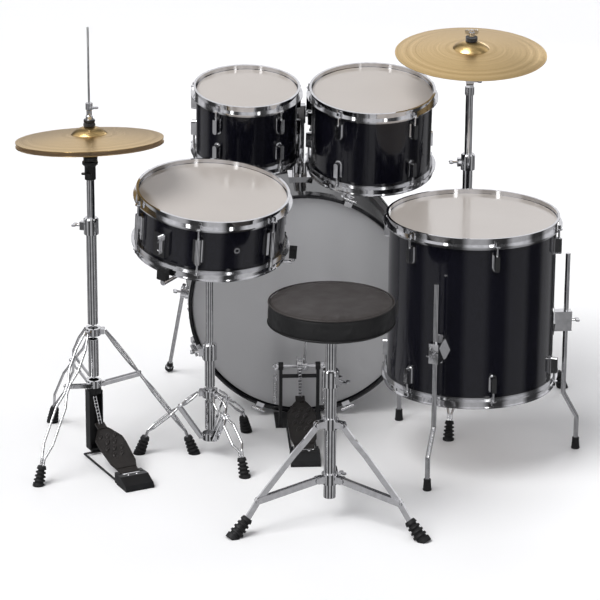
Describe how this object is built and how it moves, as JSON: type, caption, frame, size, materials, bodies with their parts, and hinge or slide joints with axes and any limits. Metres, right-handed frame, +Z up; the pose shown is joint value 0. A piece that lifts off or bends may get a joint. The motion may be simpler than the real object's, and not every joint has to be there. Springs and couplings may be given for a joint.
{
  "type": "acoustic drum kit",
  "caption": "Acoustic drum kit with bass drum, rack toms, floor tom, snare on its stand, hi-hat, crash cymbal on a stand, bass pedal and round padded throne.",
  "frame": {"origin": "on the floor at the underside of the bass pedal's base plate, below the drummer's side of the bass drum", "axes": "+Z up, +Y from the drummer through the bass drum, +X to the drummer's right"},
  "size_m": [1.4221, 1.1957, 1.082],
  "materials": {
    "shell_black": "high-gloss black wrap",
    "bass_hoop_black": "gloss black lacquer on wood",
    "head_white": "warm white satin film",
    "bass_head_grey": "smoky white satin film",
    "chrome": "polished chrome plate",
    "steel_wire": "bright steel",
    "rubber": "matt black rubber",
    "seat_vinyl": "satin black vinyl over foam",
    "cymbal_brass": "lathed brass",
    "felt_black": "black felt",
    "plastic_black": "satin black plastic",
    "pedal_black": "black powder coat",
    "footboard_black": "satin brown-black paint",
    "beater_felt": "off-white felt"
  },
  "bodies": {
    "kit": {"bass_shell": "shell_black", "bass_heads": "bass_head_grey", "bass_hoops": "bass_hoop_black", "bass_claws": "chrome", "bass_lugs": "chrome", "floor_tom_shell": "shell_black", "floor_tom_heads": "head_white", "floor_tom_hoops": "chrome", "floor_tom_lugs": "chrome", "tripod_legs": "chrome", "tripod_feet": "rubber", "hihat_stand_base": "chrome", "crash_stand_base": "chrome", "snare_stand_base": "chrome", "throne_base": "chrome", "pedal_frame": "pedal_black", "hihat_pedal_frame": "pedal_black", "pedal_chains": "steel_wire", "pedal_springs": "chrome"},
    "spur_left": {"bass_spur_left": "chrome"},
    "spur_right": {"bass_spur_right": "chrome"},
    "tom_holder": {"tom_post": "chrome"},
    "tom_1": {"tom_1_shell": "shell_black", "tom_1_heads": "head_white", "tom_1_hoops": "chrome", "tom_1_lugs": "chrome", "tom_1_bracket": "chrome"},
    "tom_2": {"tom_2_shell": "shell_black", "tom_2_heads": "head_white", "tom_2_hoops": "chrome", "tom_2_lugs": "chrome", "tom_2_bracket": "chrome"},
    "floor_leg_1": {"floor_tom_leg_1": "chrome"},
    "floor_leg_2": {"floor_tom_leg_2": "chrome"},
    "floor_leg_3": {"floor_tom_leg_3": "chrome"},
    "snare_post": {"snare_upper_tube": "chrome"},
    "snare": {"snare_basket": "chrome", "basket_tips": "rubber", "snare_shell": "shell_black", "snare_heads": "head_white", "snare_hoops": "chrome", "snare_lugs": "chrome", "snare_wires": "steel_wire"},
    "throw_off": {"strainer_lever": "chrome"},
    "throne_post": {"throne_upper_tube": "chrome"},
    "seat": {"throne_seat": "seat_vinyl"},
    "crash_post": {"crash_upper_tube": "chrome"},
    "crash_arm": {"crash_tilter": "chrome", "crash_felts": "felt_black"},
    "crash": {"crash_cymbal": "cymbal_brass"},
    "hihat_post": {"hihat_upper_tube": "chrome", "hihat_seat": "plastic_black", "hihat_bottom_cymbal": "cymbal_brass"},
    "hihat_pull_rod": {"hihat_rod": "chrome"},
    "hihat_top": {"hihat_top_cymbal": "cymbal_brass", "hihat_clutch": "chrome"},
    "bass_pedal": {"pedal_footboard": "footboard_black"},
    "beater": {"beater_shaft": "chrome", "beater_head": "beater_felt"},
    "hihat_pedal": {"hihat_footboard": "footboard_black"}
  },
  "joints": [
    {"name": "tom_post_height", "type": "slide", "parent": "kit", "child": "tom_holder", "axis": [0, 0, 1], "range_m": [0, 0.08]},
    {"name": "tom_1_tilt", "type": "hinge", "parent": "tom_holder", "child": "tom_1", "pos_m": [-0.018, 0.215, 0.748], "axis": [1, 0, 0], "range_deg": [-15, 5]},
    {"name": "tom_2_tilt", "type": "hinge", "parent": "tom_holder", "child": "tom_2", "pos_m": [0.022, 0.215, 0.748], "axis": [1, 0, 0], "range_deg": [-15, 0]},
    {"name": "spur_left_fold", "type": "hinge", "parent": "kit", "child": "spur_left", "pos_m": [-0.30114, 0.232, 0.25862], "axis": [-0.9897, 0, 0.1433], "range_deg": [0, 110]},
    {"name": "spur_right_fold", "type": "hinge", "parent": "kit", "child": "spur_right", "pos_m": [0.30114, 0.232, 0.25862], "axis": [-0.9897, 0, -0.1433], "range_deg": [0, 30]},
    {"name": "floor_leg_1_height", "type": "slide", "parent": "kit", "child": "floor_leg_1", "axis": [0, 0, 1], "range_m": [-0.06, 0.1]},
    {"name": "floor_leg_2_height", "type": "slide", "parent": "kit", "child": "floor_leg_2", "axis": [0, 0, 1], "range_m": [-0.06, 0.1]},
    {"name": "floor_leg_3_height", "type": "slide", "parent": "kit", "child": "floor_leg_3", "axis": [0, 0, 1], "range_m": [-0.06, 0.1]},
    {"name": "snare_height", "type": "slide", "parent": "kit", "child": "snare_post", "axis": [0, 0, 1], "range_m": [-0.05, 0.06]},
    {"name": "snare_tilt", "type": "hinge", "parent": "snare_post", "child": "snare", "pos_m": [-0.247, -0.262, 0.494], "axis": [1, 0, 0], "range_deg": [-9, 10]},
    {"name": "throw_off_lever", "type": "hinge", "parent": "snare", "child": "throw_off", "pos_m": [-0.37214, -0.41807, 0.57817], "axis": [-0.6673, -0.7413, -0.0714], "range_deg": [0, 90]},
    {"name": "throne_height", "type": "slide", "parent": "kit", "child": "throne_post", "axis": [0, 0, 1], "range_m": [-0.07, 0.06]},
    {"name": "throne_spin", "type": "hinge", "parent": "throne_post", "child": "seat", "pos_m": [0.02, -0.682, 0.48], "axis": [0, 0, 1], "continuous": true},
    {"name": "crash_height", "type": "slide", "parent": "kit", "child": "crash_post", "axis": [0, 0, 1], "range_m": [-0.03, 0.12]},
    {"name": "crash_tilt", "type": "hinge", "parent": "crash_post", "child": "crash_arm", "pos_m": [0.421, 0.086, 0.856], "axis": [1, 0, 0], "range_deg": [-15, 15]},
    {"name": "crash_spin", "type": "hinge", "parent": "crash_arm", "child": "crash", "pos_m": [0.421, 0.086, 0.856], "axis": [0, -0.1142, 0.9935], "continuous": true},
    {"name": "hihat_height", "type": "slide", "parent": "kit", "child": "hihat_post", "axis": [0, 0, 1], "range_m": [-0.05, 0.06]},
    {"name": "hihat_pedal_press", "type": "hinge", "parent": "kit", "child": "hihat_pedal", "pos_m": [-0.44887, -0.43148, 0.021], "axis": [-0.915, -0.4035, 0], "range_deg": [0, 2.85], "stiffness_Nm_per_rad": 14, "springref_deg": -20.05},
    {"name": "hihat_rod_pull", "type": "slide", "parent": "kit", "child": "hihat_pull_rod", "axis": [0, 0, -1], "range_m": [0, 0.009]},
    {"name": "hihat_clutch_slide", "type": "slide", "parent": "hihat_pull_rod", "child": "hihat_top", "axis": [0, 0, 1], "range_m": [-0.05, 0.06]},
    {"name": "bass_pedal_press", "type": "hinge", "parent": "kit", "child": "bass_pedal", "pos_m": [-0.015, -0.296, 0.021], "axis": [-1, 0, 0], "range_deg": [0, 5.5], "stiffness_Nm_per_rad": 15, "springref_deg": -5.73, "deforming": ["pedal_springs", "pedal_chains"]},
    {"name": "beater_swing", "type": "hinge", "parent": "kit", "child": "beater", "pos_m": [-0.015, -0.08, 0.162], "axis": [-1, 0, 0], "range_deg": [-0.5, 54.5]}
  ],
  "couplings": [
    {"joint": "hihat_rod_pull", "follows": "hihat_pedal_press", "m_per_rad": 0.17691},
    {"joint": "hihat_clutch_slide", "follows": "hihat_height", "ratio": 1},
    {"joint": "beater_swing", "follows": "bass_pedal_press", "ratio": 9.85}
  ]
}
